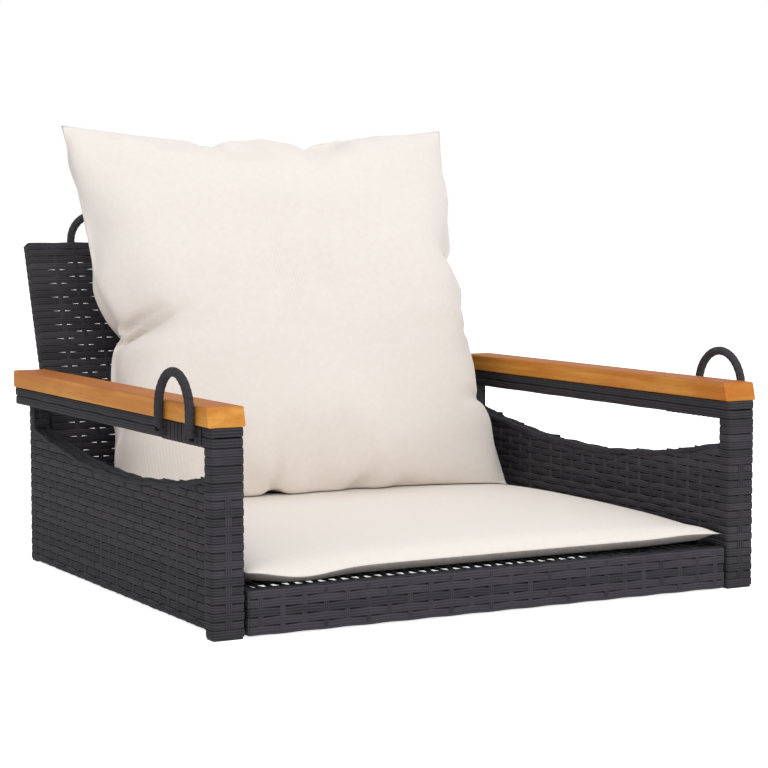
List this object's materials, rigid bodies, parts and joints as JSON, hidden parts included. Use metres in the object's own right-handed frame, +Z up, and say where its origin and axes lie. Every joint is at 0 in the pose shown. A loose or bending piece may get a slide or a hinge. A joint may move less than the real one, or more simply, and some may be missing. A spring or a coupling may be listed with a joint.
{
  "type": "swing bench",
  "caption": "Hanging swing bench with woven wicker sides, apron and leaning back on a steel frame, wooden armrests, wrapped hanging loops and loose seat and back cushions.",
  "frame": {"origin": "middle of the bounding box at floor level, under the seat", "axes": "+X to the right as seen from the front, which is the sitter's left; -Y to the front; +Z up"},
  "size_m": [0.6494, 0.62, 0.4965],
  "materials": {
    "woven_strand": "satin",
    "coated_steel": "satin",
    "arm_wood": "satin",
    "black_plastic": "matte",
    "zinc_steel": "satin",
    "cover_fabric": "matte",
    "cushion_filling": "matte"
  },
  "bodies": {
    "frame": {"apron_weave": "woven_strand", "arm_board_screws": "zinc_steel", "backrest_bolts": "zinc_steel", "backrest_bottom_rail": "coated_steel", "backrest_mid_bars": "coated_steel", "backrest_rivet_nuts": "zinc_steel", "backrest_spacers": "black_plastic", "backrest_top_rail": "coated_steel", "backrest_weave": "woven_strand", "left_arm_board": "arm_wood", "left_arm_rail": "coated_steel", "left_arm_rail_wrap": "woven_strand", "left_backrest_stile": "coated_steel", "left_bottom_rail": "coated_steel", "left_bowed_rail": "coated_steel", "left_front_loop_rod": "coated_steel", "left_front_loop_wrap": "woven_strand", "left_front_post": "coated_steel", "left_front_post_wrap": "woven_strand", "left_rear_loop_rod": "coated_steel", "left_rear_loop_wrap": "woven_strand", "left_rear_post": "coated_steel", "left_seat_lower_side_rail": "coated_steel", "left_seat_upper_side_rail": "coated_steel", "left_side_weave": "woven_strand", "post_foot_plugs": "black_plastic", "right_arm_board": "arm_wood", "right_arm_rail": "coated_steel", "right_arm_rail_wrap": "woven_strand", "right_backrest_stile": "coated_steel", "right_bottom_rail": "coated_steel", "right_bowed_rail": "coated_steel", "right_front_loop_rod": "coated_steel", "right_front_loop_wrap": "woven_strand", "right_front_post": "coated_steel", "right_front_post_wrap": "woven_strand", "right_rear_loop_rod": "coated_steel", "right_rear_loop_wrap": "woven_strand", "right_rear_post": "coated_steel", "right_seat_lower_side_rail": "coated_steel", "right_seat_upper_side_rail": "coated_steel", "right_side_weave": "woven_strand", "seat_bolts": "zinc_steel", "seat_cross_bars": "coated_steel", "seat_front_lower_rail": "coated_steel", "seat_front_upper_rail": "coated_steel", "seat_rear_rail": "coated_steel", "seat_rivet_nuts": "zinc_steel", "seat_spacers": "black_plastic", "seat_struts": "coated_steel", "seat_weave": "woven_strand"},
    "seat_cushion": {"seat_cushion_cover": "cover_fabric", "seat_cushion_fill": "cushion_filling"},
    "back_cushion": {"back_cushion_cover": "cover_fabric", "back_cushion_fill": "cushion_filling"}
  },
  "joints": [
    {"name": "seat_cushion_lift", "type": "slide", "parent": "frame", "child": "seat_cushion", "axis": [0, 0, 1], "range_m": [0, 0.3]},
    {"name": "back_cushion_lift", "type": "slide", "parent": "seat_cushion", "child": "back_cushion", "axis": [0, 0, 1], "range_m": [0, 0.3]}
  ]
}
